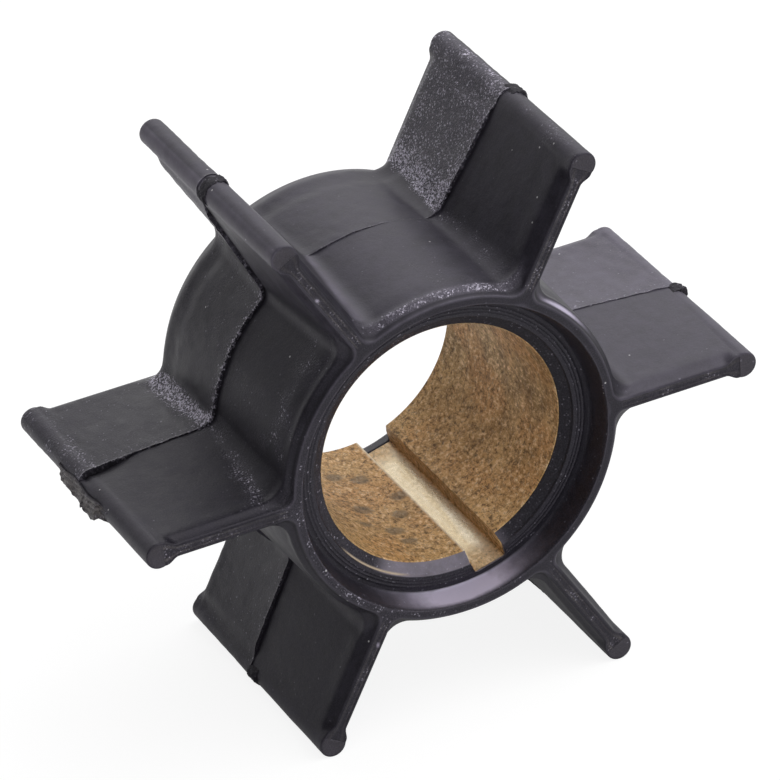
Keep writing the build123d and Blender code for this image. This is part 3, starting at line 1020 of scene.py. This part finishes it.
# ---- floor
# The camera sees the darker grey and the glow: white, with a faint shadow. The paler grey lights the object.
FLOOR_SIZE = 6.0          # metres
FLOOR_GREY = (0.78, 0.78, 0.78)
FLOOR_SEEN = (0.2, 0.2, 0.2)
FLOOR_GLOW = 0.87
GLOSSY_SHARE = 0.25       # of that is enough to show metal a white floor with its shadow
bpy.ops.mesh.primitive_plane_add(size=FLOOR_SIZE, location=(0, 0, rubber_low.z))
floor = bpy.context.object
floor.name = "floor"
floor_material, ground, floor_shader = new_material("pale_floor")
rays = ground.node("LightPath").outputs
seen = ground.either(rays["Is Camera Ray"], ground.times(rays["Is Glossy Ray"], GLOSSY_SHARE))
seen = ground.either(seen, rays["Is Transmission Ray"])
ground.feed(floor_shader, {"Base Color": ground.mix(seen, FLOOR_GREY, FLOOR_SEEN), "Roughness": 0.9,
                           "Specular IOR Level": 0.0, "Emission Color": (1, 1, 1),
                           "Emission Strength": ground.times(seen, FLOOR_GLOW)})
floor.data.materials.append(floor_material)

# ---- light
# Broad soft lights as a smooth world: azimuth from the back towards the right, elevation, strength
SOFT_LIGHTS = ((60, 45, 2.1), (120, 45, 2.45), (0, 12, 1.55), (205, 50, 0.8))
LIGHT_SHARPNESS = 7.0
FILL = 0.06
world = bpy.data.worlds.new("studio")
scene.world = world
sky = Graph(world)
strength = FILL
for turn, height, power in SOFT_LIGHTS:
    turn, height = radians(turn), radians(height)
    towards = (sin(turn) * cos(height), cos(turn) * cos(height), sin(height))
    dot = sky.node("VectorMath")
    dot.operation = "DOT_PRODUCT"
    sky.feed(dot.inputs, {0: sky.place("Generated"), 1: towards})
    lobe = sky.math("POWER", sky.either(dot.outputs["Value"], 0.0), LIGHT_SHARPNESS)
    strength = sky.math("MULTIPLY_ADD", lobe, power, strength)
# The camera, and what is seen through glass, get white. Glossy rays see the soft lights themselves.
rays = sky.node("LightPath").outputs
for kind in ("Is Camera Ray", "Is Transmission Ray"):
    strength = sky.either(strength, rays[kind])
sky.feed(sky.tree.nodes["Background"].inputs, {"Color": (1, 1, 1), "Strength": strength})

# ---- camera
CAMERA_AZIMUTH = -23.544  # degrees from the front towards the right
CAMERA_ELEVATION = 30.761
CAMERA_ROLL = 5.306
CAMERA_DISTANCE = 0.5786  # metres, like the aim
CAMERA_AIM = Vector((0.000195, 0.000012, 0.000150))
SENSOR = 36               # mm, like the lens
LENS = 313.98
azimuth, elevation, roll = map(radians, (CAMERA_AZIMUTH, CAMERA_ELEVATION, CAMERA_ROLL))
outward = Vector((sin(azimuth) * cos(elevation), -cos(azimuth) * cos(elevation), sin(elevation)))
level_right = (-outward).cross(Vector((0, 0, 1))).normalized()
level_up = level_right.cross(-outward)
up = level_up * cos(roll) + level_right * sin(roll)
right = (-outward).cross(up)
camera_data = bpy.data.cameras.new("camera")
camera_data.lens = LENS
camera_data.sensor_width = SENSOR
camera_data.clip_start = 0.05
camera_data.clip_end = 20
camera = bpy.data.objects.new("camera", camera_data)
scene.collection.objects.link(camera)
turned_to_aim = Matrix((right, up, outward)).transposed().to_4x4()
camera.matrix_world = Matrix.Translation(CAMERA_AIM + outward * CAMERA_DISTANCE) @ turned_to_aim
scene.camera = camera
scene.view_settings.view_transform = "Standard"
